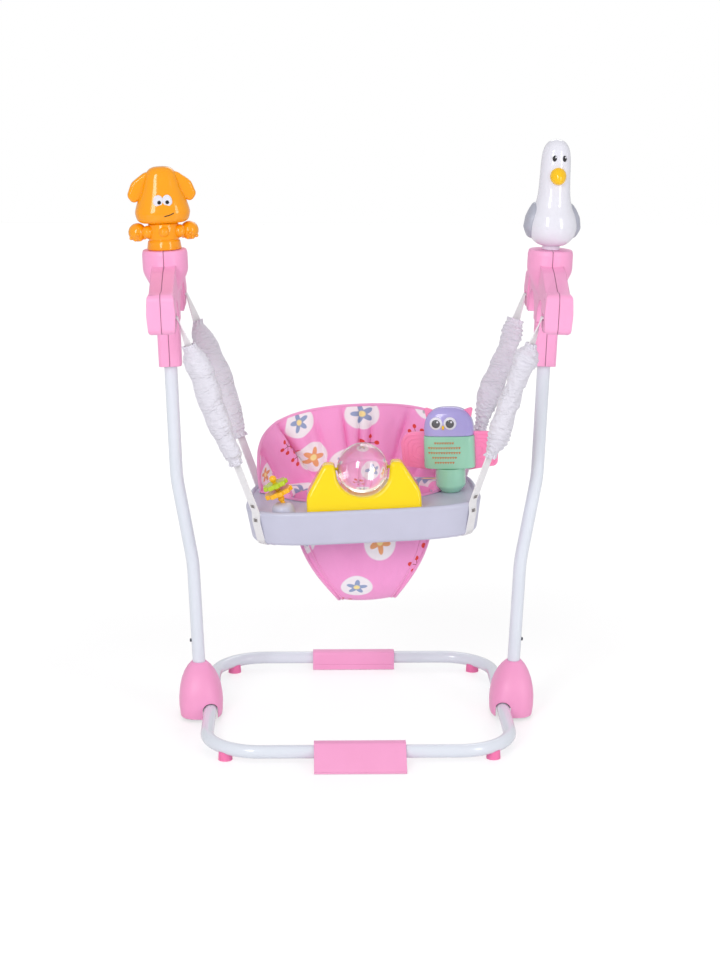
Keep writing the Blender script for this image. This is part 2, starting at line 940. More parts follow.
    def done(
        self, name: str, finish: Finish, body: str, nodes: Sequence[str] = (), sharp: float = 38.0,
    ) -> bpy.types.Object:
        """Finished piece on its CAD body.

        Args:
            name: The piece's name.
            finish: Its finish.
            body: The CAD body that it moves with, or nothing if it is set later.
            nodes: The CAD nodes that it stands for.
            sharp: Edges sharper than this many degrees stay sharp.

        Returns:
            The piece.
        """
        mesh = bpy.data.meshes.new(name)
        self.bm.to_mesh(mesh)
        self.bm.free()
        mesh.materials.append(finish.material())
        mesh.polygons.foreach_set("use_smooth", [True] * len(mesh.polygons))
        mesh.set_sharp_from_angle(angle=math.radians(sharp))
        piece = bpy.data.objects.new(name, mesh)
        bpy.context.scene.collection.objects.link(piece)
        if body:
            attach(piece, body)
        if nodes:
            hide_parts(*nodes)
        LOG.info("%s: %d faces", name, len(mesh.polygons))
        return piece


def soften(piece: bpy.types.Object, width: float, segments: int = 2, angle: float = 40.0) -> bpy.types.Object:
    """Rounds a piece's sharp edges with a Bevel modifier.

    Args:
        piece: The piece.
        width: Width of the rounding.
        segments: Its segments.
        angle: Edges sharper than this many degrees are rounded.

    Returns:
        The piece.
    """
    bevel = piece.modifiers.new("edge", "BEVEL")
    bevel.width = width
    bevel.segments = segments
    bevel.limit_method = "ANGLE"
    bevel.angle_limit = math.radians(angle)
    bevel.harden_normals = True
    return piece


def flowed(piece: bpy.types.Object) -> bpy.types.Object:
    """Lets a piece's large faces lead its shading, with a Weighted Normal modifier."""
    piece.modifiers.new("flow", "WEIGHTED_NORMAL").keep_sharp = True
    return piece


def dressed(node: str, finish: Finish, body: str, width: float, angle: float = 40.0) -> bpy.types.Object:
    """Copy of a rigid CAD node with softened edges and a finish.

    Args:
        node: The CAD node.
        finish: Its finish.
        body: The CAD body that it moves with.
        width: Width of the edges' rounding.
        angle: Edges sharper than this many degrees are rounded.

    Returns:
        The piece, which stands for the node.
    """
    piece = Mould.copy(node).done(f"{node}_moulding", finish, body, [node], sharp=30.0)
    return soften(piece, width, angle=angle)


# Standing frame and seat


@dataclass
class TubeFrame:
    """Standing frame: base tubes, hubs, uprights and heads."""

    tubes: tuple[str, ...] = (
        "base_front_tube", "base_rear_tube", "stub_tube_left", "stub_tube_right",
        "upright_left", "upright_right",
    )
    steel: tuple[str, ...] = (
        "hub_bracket_left", "hub_bracket_right", "fold_pins", "head_screws", "strap_bars",
        "snap_leaf_left", "snap_leaf_right",
    )
    buttons: tuple[str, ...] = ("snap_button_left", "snap_button_right")
    hub_round: float = 0.0012
    head_round: float = 0.0016
    pad_round: float = 0.0022
    foot_round: float = 0.0012
    sharp: float = 50.0
    head_sharp: float = 45.0

    def build(self) -> None:
        """Dresses the frame's tubes and mouldings."""
        self.paint(self.tubes, Finishes.TUBE)
        self.paint(self.steel, Finishes.STEEL)
        self.paint(self.buttons, Finishes.BUTTON)
        for side in ("left", "right"):
            dressed(f"hub_cover_{side}", Finishes.PINK, "frame", self.hub_round, self.sharp)
            for half in ("outer", "inner"):
                dressed(f"head_{half}_{side}", Finishes.HEAD, "frame", self.head_round, self.head_sharp)
        for end in ("front", "rear"):
            for half in ("upper", "lower"):
                dressed(f"{end}_pad_{half}", Finishes.PAD, f"base_{end}", self.pad_round, self.sharp)
            dressed(f"{end}_feet", Finishes.FOOT, f"base_{end}", self.foot_round, self.sharp)

    @staticmethod
    def paint(nodes: Iterable[str], finish: Finish) -> None:
        """Gives CAD nodes a finish."""
        for node in nodes:
            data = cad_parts[node].data
            data.materials.clear()
            data.materials.append(finish.material())


@dataclass
class Tray:
    """Play tray with the seat's opening."""

    width: float = 0.446
    front: float = 0.168
    rear: float = 0.128
    taper: float = 0.03
    front_power: float = 4.2
    rear_power: float = 4.4
    skirt: float = 0.067
    skirt_round: float = 0.009
    wall: float = 0.003
    rim: float = 0.006
    rim_width: float = 0.0095
    rim_round: float = 0.007
    draft: float = 0.009
    deck: float = 0.004
    lip: float = 0.018
    hole_width: float = 0.292
    hole_front: float = 0.072
    hole_rear: float = 0.100
    hole_power: float = 2.4
    boss_at: Point2 = (-0.153, -0.128)
    boss_radius: float = 0.022
    boss_height: float = 0.019
    deck_run: float = 0.012
    bead_foot: float = 0.006
    bead_width: float = 0.004
    bead_height: float = 0.0015
    steps: int = 180

    def edge(self, angle: float, inset: float) -> Vector:
        """Point of the outer outline.

        Args:
            angle: Direction from the middle, in degrees.
            inset: Distance inside the outline.

        Returns:
            The point, level with the rim.
        """
        reach = (self.width / 2 - inset, self.front - inset, self.rear - inset)
        p = self.oval(angle, reach, (self.front_power, self.rear_power))
        return Vector((p.x * (1 - self.taper * p.y / self.rear), p.y, 0))

    def hole(self, angle: float, inset: float) -> Vector:
        """Point of the seat opening's outline."""
        reach = (self.hole_width / 2 - inset, self.hole_front - inset, self.hole_rear - inset)
        return self.oval(angle, reach, (self.hole_power, self.hole_power))

    @staticmethod
    def oval(angle: float, reach: Point3, powers: Point2) -> Vector:
        """Point of a squared oval.

        Args:
            angle: Direction from the middle, in degrees.
            reach: The oval's reach to either side, to the front and to the rear.
            powers: How square its front and its rear are.

        Returns:
            The point, at zero height.
        """
        c, s = math.cos(math.radians(angle)), math.sin(math.radians(angle))
        b, n = (reach[1], powers[0]) if s < 0 else (reach[2], powers[1])
        r = ((abs(c) / reach[0]) ** n + (abs(s) / b) ** n) ** (-1 / n)
        return Vector((r * c, r * s, 0))

    def normal(self, angle: float) -> Vector:
        """Outward direction of the outer outline."""
        d = self.edge(angle + 1, 0) - self.edge(angle - 1, 0)
        return Vector((d.y, -d.x, 0)).normalized()

    def section(self) -> list[tuple[bool, float, float]]:
        """Outline of the wall as (at the outer edge, inset, height)."""
        low, floor = self.draft + self.skirt_round, -self.skirt
        deck, under = -self.rim, -self.rim - self.deck
        bead = deck + self.bead_height
        outer = fillet([
            (low, floor, 0), (self.draft, floor, self.skirt_round * 0.95),
            (0.0, -self.rim_round, 0.02), (0.0, 0.0, self.rim_round * 0.95),
            (self.rim_width - 0.002, 0.0, 0.004), (self.rim_width, deck, 0.002),
            (self.rim_width + self.deck_run, deck, 0),
        ], 6)
        opening = fillet([
            (-self.deck_run, deck, 0), (-self.bead_foot, deck, 0.003), (-self.bead_width, bead, 0.001),
            (0.0, bead, 0.0014), (0.0, -self.lip, 0.0008), (-self.wall, -self.lip, 0.0008),
            (-self.wall, under, 0.001), (-self.deck_run, under, 0),
        ], 3)
        inner = fillet([
            (self.wall + 0.006, under, 0), (self.wall, under, 0.003),
            (self.draft + self.wall, floor + self.wall, self.skirt_round * 0.6),
            (low, floor + self.wall, 0.0012), (low, floor, 0),
        ], 4)
        lines = ((True, outer), (False, opening), (True, inner))
        return [(at_edge, inset, height) for at_edge, line in lines for inset, height in line]

    def build(self) -> None:
        """Makes the tray and its bead boss."""
        section = self.section()

        def place(u: float, v: float) -> Vector:
            """Point of the wall, round the tray and along its section."""
            at_edge, inset, height = section[round(v * (len(section) - 1))]
            line = self.edge if at_edge else self.hole
            return line(-360 * u, inset) + Vector((0, 0, height))

        tray = Mould.patch(place, self.steps, len(section) - 1)
        dome = Mould.lathe(fillet([
            (self.boss_radius + 0.003, -self.deck / 2, 0), (self.boss_radius, 0.001, 0.003),
            (self.boss_radius * 0.86, self.boss_height, 0.013), (0.0, self.boss_height, 0),
        ], 10), 56).moved(shift(*self.boss_at, -self.rim))
        tray.joined([dome]).moved(LAYOUT.seat())
        tray.done("tray_moulding", Finishes.TRAY, "seat", ["tray"], 40.0)
        TubeFrame.paint(["seat_ring"], Finishes.TRAY)


TRAY = Tray()


@dataclass(frozen=True)
class Pleat:
    """A fold in cloth: its place and width across the sheet, its slant and its height."""

    at: float
    width: float
    slant: float
    height: float


def pleated(pleats: Iterable[Pleat], across: float, up: float) -> float:
    """Height of a sheet's pleats.

    Args:
        pleats: The pleats.
        across: Place across the sheet, -1 to 1.
        up: Place along the pleats, 0 where their own places are given.

    Returns:
        The height, as a share of the pleats' depth.
    """
    return sum(p.height * hump(across + up * p.slant, p.at, p.width) for p in pleats)


@dataclass
class Seat:
    """Fabric sling, back and collar of the hanging seat, with their piping."""

    inset: float = 0.0046
    drop: float = 0.210
    hem: float = -0.012
    hem_width: float = 0.268
    crotch_width: float = 0.110
    narrowing: float = 2.8
    power: float = 2.6
    cloth: float = 0.0022
    back_height: float = 0.146
    back_width: float = 0.412
    back_front: float = 0.030
    back_rear: float = 0.112
    back_tilt: float = 0.022
    back_power: float = 2.3
    back_least: float = 0.006
    back_side_gap: float = 0.004
    back_rear_gap: float = 0.003
    deck_gap: float = 0.002
    sling_draw: float = 0.004
    sling_lift: float = 0.002
    sling_sag: float = 0.005
    sling_depth: float = 0.007
    sling_folds: tuple[Pleat, ...] = (Pleat(-0.55, 0.16, 0.0, 1.2), Pleat(0.72, 0.10, 0.0, -1.0))
    back_depth: float = 0.0105
    back_pleats: tuple[Pleat, ...] = (
        Pleat(-0.72, 0.030, 0.34, 1.0), Pleat(-0.53, 0.06, 0.30, -0.9), Pleat(-0.44, 0.020, 0.30, 2.0),
        Pleat(-0.36, 0.05, 0.28, -0.9), Pleat(-0.24, 0.022, 0.12, 1.0), Pleat(-0.14, 0.05, 0.06, -0.5),
        Pleat(-0.08, 0.014, 0.05, 1.2), Pleat(0.0, 0.014, -0.02, 1.3), Pleat(0.07, 0.016, -0.05, 1.1),
        Pleat(0.15, 0.05, -0.06, -0.5), Pleat(0.26, 0.022, -0.16, 1.2), Pleat(0.36, 0.05, -0.2, -0.8),
        Pleat(0.48, 0.022, -0.28, 1.4), Pleat(0.66, 0.05, -0.24, -0.7),
    )
    crumple: float = 0.003
    puff: float = 0.004
    collar_out: float = 0.0055
    collar_lip: float = 0.002
    collar_in: float = 0.0066
    collar_flat: float = 0.6
    collar_high: float = 0.0022
    collar_rise: float = 0.0022
    collar_drop: float = 0.0135
    collar_cloth: float = 0.0012
    piping: float = 0.0032
    seam_share: float = 0.55
    seam_at: float = 0.87
    piped_fold: float = 0.6
    print_shift: float = 0.03
    sharp: float = 60.0
    sling_cut: Point2 = (0.21, 0.47)
    back_cut: Point2 = (0.56, 0.15)
    apron_cut: Point2 = (0.80, 0.028)
    sling_faces: tuple[int, int] = (56, 110)
    back_faces: tuple[int, int] = (220, 40)
    apron_faces: tuple[int, int] = (200, 20)

    def sling_half(self, t: float) -> float:
        """Half width of the sling at a place along it."""
        return mix(self.crotch_width, self.hem_width, abs(math.cos(math.pi * t)) ** self.narrowing) / 2

    def sling_point(self, v: float, t: float, fold: float = 1.0) -> Vector:
        """Point of the sling's sheet.

        Args:
            v: Place across the band, -1 to 1.
            t: Place along it, 0 at the front hem to 1 at the rear hem.
            fold: Share of the folds' depth.

        Returns:
            The point in the seat's frame.
        """
        a = math.pi * t
        c, s = math.cos(a), max(math.sin(a), 0.0)
        x = v * self.sling_half(t)
        reach = (TRAY.hole_front if c > 0 else TRAY.hole_rear) - self.inset
        share, power = abs(x) / (TRAY.hole_width / 2 - self.inset), TRAY.hole_power
        full = max(0.0, 1 - share**power) ** (1 / power)
        gather = math.sin(v * 9 + 0.7) * 0.6 + math.sin(v * 17 + 2.0) * 0.3
        gather += pleated(self.sling_folds, v, 0.0)
        depth = self.sling_depth * gather * smooth(1 - s) * smooth(s * 3) * fold
        sag = self.sling_sag * (0.5 - v * v) * s
        y = -(reach + depth - self.sling_draw * smooth(s * 4)) * full * spow(c, 2 / self.power)
        return Vector((x, y, self.hem - (self.drop - self.sling_lift + sag) * s ** (2 / self.power)))

    def back_point(self, u: float, t: float, fold: float = 1.0) -> Vector:
        """Point of the back's sheet.

        Args:
            u: Place across the back, -1 to 1.
            t: Place up it, 0 to 1.
            fold: Share of the folds' depth.

        Returns:
            The point in the seat's frame.
        """
        arch = max(0.0, 1 - abs(u) ** self.back_power) ** (1 / self.back_power)
        rise = max(self.back_height * arch, self.back_least)
        turn = math.pi / 2 * u
        lean = self.back_tilt * t * rise / self.back_height
        rough = 1 - 2.2 * abs(noise.noise(Vector((u * 4.5 + t * 0.8, t * 1.6 - u, 4.0))))
        deep = self.back_depth * pleated(self.back_pleats, u, t - 0.5) + self.crumple * rough
        deep *= smooth(t * 2.2 + 0.25) * smooth((1.08 - t) * 2.4)
        deep *= smooth((1 - abs(u)) * 5) * fold
        puff = self.puff * math.sin(math.pi * t) * smooth((1 - abs(u)) * 3) * fold
        inner = deep - puff
        side = self.back_width / 2 - self.back_side_gap + inner * abs(math.sin(turn))
        y = mix(self.back_front, self.back_rear - self.back_rear_gap, math.cos(turn))
        y += lean + inner * math.cos(turn)
        return Vector((side * math.sin(turn), y, -TRAY.rim + self.deck_gap + t * rise))

    def build(self) -> None:
        seat = LAYOUT.seat()
        sling = Mould.patch(
            lambda u, v: self.sling_point(2 * u - 1, v), *self.sling_faces, self.sling_cut,
            chart=lambda u, v: ((2 * u - 1) * self.sling_half(v) + self.print_shift, v * self.sling_cut[1]),
        )
        sling = sling.thickened(self.cloth).outward().moved(seat)
        piece = sling.done("sling_cloth", Finishes.PRINT, "seat", ["seat_sling"], self.sharp)
        back = Mould.patch(lambda u, v: self.back_point(2 * u - 1, v), *self.back_faces, self.back_cut)
        back = back.thickened(self.cloth).outward().moved(seat)
        piece = back.done("back_cloth", Finishes.PRINT, "seat", ["seat_back"], self.sharp)
        apron = Mould.patch(lambda u, v: self.apron_point(2 * u - 1, v), *self.apron_faces, self.apron_cut)
        apron = apron.thickened(self.collar_cloth).outward().moved(seat)
        piece = apron.done("apron_cloth", Finishes.PRINT, "seat", (), self.sharp)
        hems = [
            (self.piping * share, [self.sling_point(s * k, i / 80, self.piped_fold) for i in range(81)])
            for s in (-1, 1) for k, share in ((1.0, 1.0), (self.seam_at, self.seam_share))
        ]
        hems.append((self.piping, [self.back_point(i / 50 - 1, 1.0, self.piped_fold) for i in range(101)]))
        tubes = [self.tube(line, radius) for radius, line in hems]
        Mould.together(tubes).moved(seat).done("cloth_piping", Finishes.LINING, "seat")

    def apron_point(self, u: float, t: float) -> Vector:
        """Point of the cloth that lies on the deck behind the opening and curls into it all round.

        Args:
            u: Place round the opening, -1 to 1, with the rear in the middle.
            t: Place from the back's foot, 0, to the edge inside the opening, 1.

        Returns:
            The point in the seat's frame.
        """
        around = 90 - 180 * u
        edge, inner = TRAY.hole(around, -self.collar_lip), TRAY.hole(around, self.collar_in)
        narrow = smooth(abs(u) * 9 - 4.4)
        rear = self.back_point(max(-1.0, min(u * 180 / 92, 1.0)), 0.0, 0.0)
        foot = rear.lerp(TRAY.hole(around, -self.collar_out), narrow)
        lay = min(t / self.collar_flat, 1.0)
        curl = max(t - self.collar_flat, 0.0) / (1 - self.collar_flat) * math.pi / 2
        p = foot.lerp(edge, lay).lerp(inner, math.sin(curl))
        rough = 0.8 + 0.6 * noise.noise(Vector((u * 18, t * 1.5, 3.0)))
        puff = self.puff * math.sin(math.pi * min(lay, 0.85)) * rough * (1 - 0.7 * narrow)
        low = self.collar_drop * (1 - math.cos(curl)) - self.collar_rise * smooth(lay * 3 - 1.6)
        return p.xy.to_3d() + Vector((0, 0, -TRAY.rim + self.collar_high + puff - low))

    @staticmethod
    def tube(line: Sequence[Vector], radius: float) -> Mould:
        """Round piping along a line of points.

        Args:
            line: The piping's middle line.
            radius: Its radius, which shrinks at both ends.

        Returns:
            The mesh.
        """
        count = len(line) - 1

        def place(u: float, v: float) -> Vector:
            """Point round the piping and along it."""
            i = round(v * count)
            ahead = (line[min(i + 1, count)] - line[max(i - 1, 0)]).normalized()
            side = ahead.orthogonal() if abs(ahead.y) > 0.99 else ahead.cross(Vector((0, 1, 0))).normalized()
            up = side.cross(ahead)
            end = 0.2 if i in (0, count) else 1.0
            return line[i] + (side * math.cos(math.tau * u) + up * math.sin(math.tau * u)) * radius * end

        return Mould.patch(place, 10, count, (0.02, 0.5))


@dataclass(frozen=True)
class Gather:
    """How a sleeve is bunched: its fullness from top to bottom, and its folds."""

    fullness: tuple[float, ...]
    depth: float
    folds: float
    ruche: float


@dataclass(frozen=True)
class Rumple:
    """Noise over a sleeve: its share, its scales round the sleeve and along it, and its slant."""

    share: float
    around: float
    along: float
    slant: float = 0.0


@dataclass
class Straps:
    """Four hanging straps: webbing, spring, gathered sleeve and clip."""

    wide: float = 0.022
    thick: float = 0.0022
    slot: Point3 = (-0.0265, 0.152, 0.1155)
    bar_x: float = -0.0158
    front_angle: float = -34.0
    rear_angle: float = 24.0
    sleeve_from: float = 0.14
    sleeve_to: float = 0.75
    sleeve_wide: float = 0.053
    sleeve_thick: float = 0.042
    under: float = 0.046
    gap: float = 0.0003
    tuck: float = 0.014
    clip_round: float = 0.0008
    stitch: float = 0.0007
    stitch_form: Point3 = (9.0, 1.0, 0.8)
    stitch_pitch: float = 0.0022
    sleeve_cut: float = 0.12
    sleeve_ease: float = 1.15
    sleeve_cloth: float = 0.0008
    sleeve_faces: tuple[int, int] = (72, 160)
    swell: float = 0.72
    bunch_share: float = 0.17
    bunch_slip: float = 0.006
    bunch_wander: Rumple = Rumple(0.4, 0.6, 3)
    dents: Rumple = Rumple(0.1, 0.8, 5)
    crease: Rumple = Rumple(2.2, 1.5, 15, 5)
    crease_share: float = 0.06
    ruche_turns: float = 24.0
    ruche_share: float = 0.13
    ruche_wander: Rumple = Rumple(1.4, 0.9, 6)
    ruche_top: Point2 = (0.26, 0.12)
    ruche_foot: Point2 = (0.72, 0.1)
    frill_width: float = 0.03
    frill_waves: Point2 = (0.07, 8)
    frill_ripples: Point2 = (0.05, 13)
    tie: Point3 = (0.08, 0.955, 0.014)
    sway: Point2 = (0.004, 7)
    seed_step: float = 7.3
    gathers: dict[tuple[Side, End], Gather] = field(default_factory=lambda: {
        (Side.LEFT, End.FRONT): Gather(
            fullness=(0.50, 0.92, 1.0, 1.03, 1.02, 1.0, 0.96, 0.88, 0.78, 0.70, 0.52),
            depth=0.6, folds=4.0, ruche=0.3,
        ),
        (Side.LEFT, End.REAR): Gather(
            fullness=(0.36, 0.78, 0.94, 1.0, 1.02, 1.0, 0.98, 0.96, 0.92, 0.82, 0.54),
            depth=0.5, folds=3.4, ruche=0.3,
        ),
        (Side.RIGHT, End.FRONT): Gather(
            fullness=(0.38, 0.92, 0.92, 0.78, 0.78, 0.80, 0.84, 0.86, 0.94, 0.64, 0.48),
            depth=0.8, folds=5.2, ruche=1.1,
        ),
        (Side.RIGHT, End.REAR): Gather(
            fullness=(0.66, 0.82, 0.76, 0.88, 0.90, 0.92, 0.94, 0.98, 0.70, 0.62, 0.54),
            depth=0.7, folds=4.4, ruche=1.1,
        ),
    })

    def angle(self, side: Side, end: End) -> float:
        """Angle of a strap's place on the tray's outline."""
        a = self.front_angle if end is End.FRONT else self.rear_angle
        return a if side is Side.RIGHT else 180 - a

    def on_tray(self, side: Side, end: End, out: float, z: float) -> Vector:
        """Point by the tray's edge, a distance outside it."""
        a = self.angle(side, end)
        return LAYOUT.seat() @ (TRAY.edge(a, 0) + out * TRAY.normal(a) + Vector((0, 0, z)))

    def along_edge(self, side: Side, end: End) -> Vector:
        """Direction of the tray's edge at a strap."""
        n = TRAY.normal(self.angle(side, end))
        return LAYOUT.seat().to_3x3() @ Vector((-n.y, n.x, 0))

    def line(self, side: Side, end: End) -> tuple[Vector, Vector, Vector]:
        """Straight stretch of a strap.

        Args:
            side: The strap's side.
            end: The strap's end.

        Returns:
            The stretch's top and foot, and the strap's width direction there.
        """
        x, y, z = self.slot
        top = LAYOUT.head(side) @ Vector((x - self.thick, end.value * y, z))
        foot = self.on_tray(side, end, self.thick / 2 + self.gap, -0.003)
        along = self.along_edge(side, end)
        ahead = (foot - top).normalized()
        return top, foot, (along - ahead * along.dot(ahead)).normalized()

    def ribbon(self, points: Sequence[Vector], wides: Sequence[Vector], sub: int = 6) -> Mould:
        """Flat webbing through points.

        Args:
            points: The middle line's corners.
            wides: The width direction at each corner.
            sub: Faces between two corners.

        Returns:
            The webbing with its thickness.
        """
        count = (len(points) - 1) * sub
        lengths = [0.0]
        for a, b in zip(points, points[1:]):
            lengths.append(lengths[-1] + (b - a).length)

        def middle(t: float) -> tuple[Vector, Vector]:
            """Middle line's point and width direction at a place along it."""
            i = min(int(t * (len(points) - 1)), len(points) - 2)
            f = t * (len(points) - 1) - i
            return points[i].lerp(points[i + 1], f), wides[i].lerp(wides[i + 1], f).normalized()

        def place(u: float, v: float) -> Vector:
            """Point across the webbing and along it."""
            p, w = middle(v)
            return p + w * (u - 0.5) * self.wide

        sheet = Mould.patch(place, 4, count, (self.wide, lengths[-1]), False)
        bmesh.ops.smooth_vert(
            sheet.bm, verts=sheet.bm.verts, factor=0.3, use_axis_x=True, use_axis_y=True, use_axis_z=True,
        )
        return sheet.thickened(self.thick).outward()

    def uppers(self) -> None:
        """Webbing from the heads into the sleeves."""
        made = []
        for side, end in STRAP_PLACES:
            top, foot, wide = self.line(side, end)
            level = Vector((0, side.value, 0))
            _, y, z = self.slot
            bar = LAYOUT.head(side) @ Vector((self.bar_x, end.value * y, z))
            ahead = (foot - top).normalized()
            start = top.lerp(foot, self.sleeve_from)
            points = [bar, top, top.lerp(foot, self.sleeve_from / 3), start, start + ahead * self.tuck]
            made.append(self.ribbon(points, [level, level, (level * 2 + wide).normalized(), wide, wide]))
        Mould.together(made).done("webbing_uppers", Finishes.WEBBING, "frame", ["strap_uppers"])

    def lowers(self) -> None:
        """Webbing from the sleeves round the tray's edge, with its stitching and clips."""
        made, stitches = [], []
        for side, end in STRAP_PLACES:
            top, foot, wide = self.line(side, end)
            along = self.along_edge(side, end)
            off = self.thick / 2 + self.gap
            points = [
                top.lerp(foot, self.sleeve_to) - (foot - top).normalized() * self.tuck, foot,
                self.on_tray(side, end, off, -TRAY.skirt / 3),
            ]
            bend = TRAY.skirt_round + off
            for turn in (math.pi / 2, math.pi / 3, math.pi / 6, 0.0):
                out = bend * math.sin(turn) - TRAY.draft - TRAY.skirt_round
                z = TRAY.skirt_round - TRAY.skirt - bend * math.cos(turn)
                points.append(self.on_tray(side, end, out, z))
            points.append(self.on_tray(side, end, -self.under, -TRAY.skirt - off))
            made.append(self.ribbon(points, [wide] + [along] * (len(points) - 1)))
            stitches += self.stitches(points, along)
        Mould.together(made).done("webbing_lowers", Finishes.WEBBING, "seat", ["strap_lowers"])
        Mould.together(stitches).done("webbing_stitches", Finishes.THREAD, "seat")
        dressed("strap_clips", Finishes.CLIP, "seat", self.clip_round)

    def stitches(self, points: Sequence[Vector], along: Vector) -> list[Mould]:
        """Dark bar tacks across the webbing just above and below the tray's rim.

        Args:
            points: The webbing's middle line, from the sleeve down.
            along: Its width direction at the tray.

        Returns:
            The bars.
        """
        made = []
        above, rim, below = points[:3]
        for a, b, t in ((rim, above, 0.12), (rim, below, 0.75)):
            p = a.lerp(b, t)
            ahead = (b - a).normalized()
            out = along.cross(ahead).normalized()
            if out.dot(p - Vector((LAYOUT.seat_at[0], 0, p.z))) < 0:
                out = -out
            turn = Matrix((along, ahead, out)).transposed().to_4x4()
            for k in (-1, 0, 1):
                at = p + out * self.thick / 2 + ahead * k * self.stitch_pitch
                bar = Mould.ball(self.stitch, 4).moved(Matrix.Diagonal((*self.stitch_form, 1.0)))
                made.append(bar.moved(Matrix.Translation(at) @ turn))
        return made

    def sleeves(self) -> None:
        """Gathered sleeves over the springs."""
        for number, (side, end) in enumerate(STRAP_PLACES):
            top, foot, wide = self.line(side, end)
            start, stop = top.lerp(foot, self.sleeve_from), top.lerp(foot, self.sleeve_to)
            self.sleeve(side, end, start, stop, wide, self.seed_step * number)

    def sleeve(self, side: Side, end: End, start: Vector, stop: Vector, wide: Vector, seed: float) -> None:
        """One gathered sleeve.

        Args:
            side: The strap's side.
            end: The strap's end.
            start: Middle of the sleeve's upper mouth.
            stop: Middle of its lower mouth.
            wide: The webbing's width direction.
            seed: Place in the noise that its folds are taken from.
        """
        ahead = (stop - start).normalized()
        out = ahead.cross(wide).normalized()
        length = (stop - start).length
        gather = self.gathers[side, end]

        def place(u: float, v: float) -> Vector:
            """Point round the sleeve and along it."""
            a = math.tau * u
            ring = Vector((math.cos(a), math.sin(a), 0.0))

            def rough(kind: Rumple, at: float) -> float:
                """Noise at this point of the sleeve, from a place in the noise."""
                x, y = ring.x * kind.around + v * kind.slant, ring.y * kind.around
                return kind.share * noise.noise(Vector((x, y, v * kind.along + at)))

            def wave(size: Point2, turn: float, start_at: float) -> float:
                """Sine wave of a height and a count."""
                return size[0] * math.sin(size[1] * turn + start_at)

            frill = hump(v, 0, self.frill_width) + hump(v, 1, self.frill_width)
            inside = 1 - frill
            step = (v * gather.folds + rough(self.bunch_wander, -seed) + 1) % 1.0
            bunch = smooth(step / self.swell) - 0.5
            if step >= self.swell:
                bunch = 0.5 - smooth((step - self.swell) / (1 - self.swell))
            fine = 1 - abs(rough(self.crease, 2 * seed))
            turns = v * self.ruche_turns + rough(self.ruche_wander, 3 * seed)
            tuck = 0.5 - abs(math.sin(math.pi * turns))
            (top, top_fade), (foot, foot_fade) = self.ruche_top, self.ruche_foot
            ends = smooth((top - v) / top_fade) + smooth((v - foot) / foot_fade)
            folds = self.bunch_share * bunch + rough(self.dents, seed) + self.crease_share * fine
            k = sampled(gather.fullness, v)
            k += inside * gather.depth * folds
            k += self.ruche_share * gather.ruche * ends * inside * tuck
            k += frill * (wave(self.frill_waves, a, seed) + wave(self.frill_ripples, a, 0.0))
            k -= self.tie[0] * hump(v, *self.tie[1:])
            lean = wave(self.sway, v, seed) * inside
            p = start + ahead * (v * length + self.bunch_slip * bunch * gather.depth * inside * ring.x)
            p += wide * (ring.x * k * self.sleeve_wide / 2 + lean)
            return p + out * (ring.y * k * self.sleeve_thick / 2)

        flat = (self.sleeve_cut, length * self.sleeve_ease)
        cloth = Mould.patch(place, *self.sleeve_faces, flat).thickened(self.sleeve_cloth).outward()
        name = f"sleeve_{end.name}_{side.name}".lower()
        piece = cloth.done(f"{name}_cloth", Finishes.SLEEVE, "", [name], 70.0)
        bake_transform(piece)
        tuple(start)
        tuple(stop)

    def springs(self) -> None:
        """Bounce springs inside the sleeves, which stretch with them."""
        for side, end in STRAP_PLACES:
            top, foot, _ = self.line(side, end)
            spring = Mould.copy("bounce_springs").kept(lambda p: p.x * top.x > 0 and p.y * top.y > 0)
            name = f"spring_{end.name}_{side.name}".lower()
            piece = spring.done(name, Finishes.STEEL, "", ["bounce_springs"])
            top.lerp(foot, self.sleeve_from)
            top.lerp(foot, self.sleeve_to)
            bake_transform(piece)

    def build(self) -> None:
        """Makes all the straps."""
        self.uppers()
        self.lowers()
        self.springs()
        self.sleeves()


# Toys


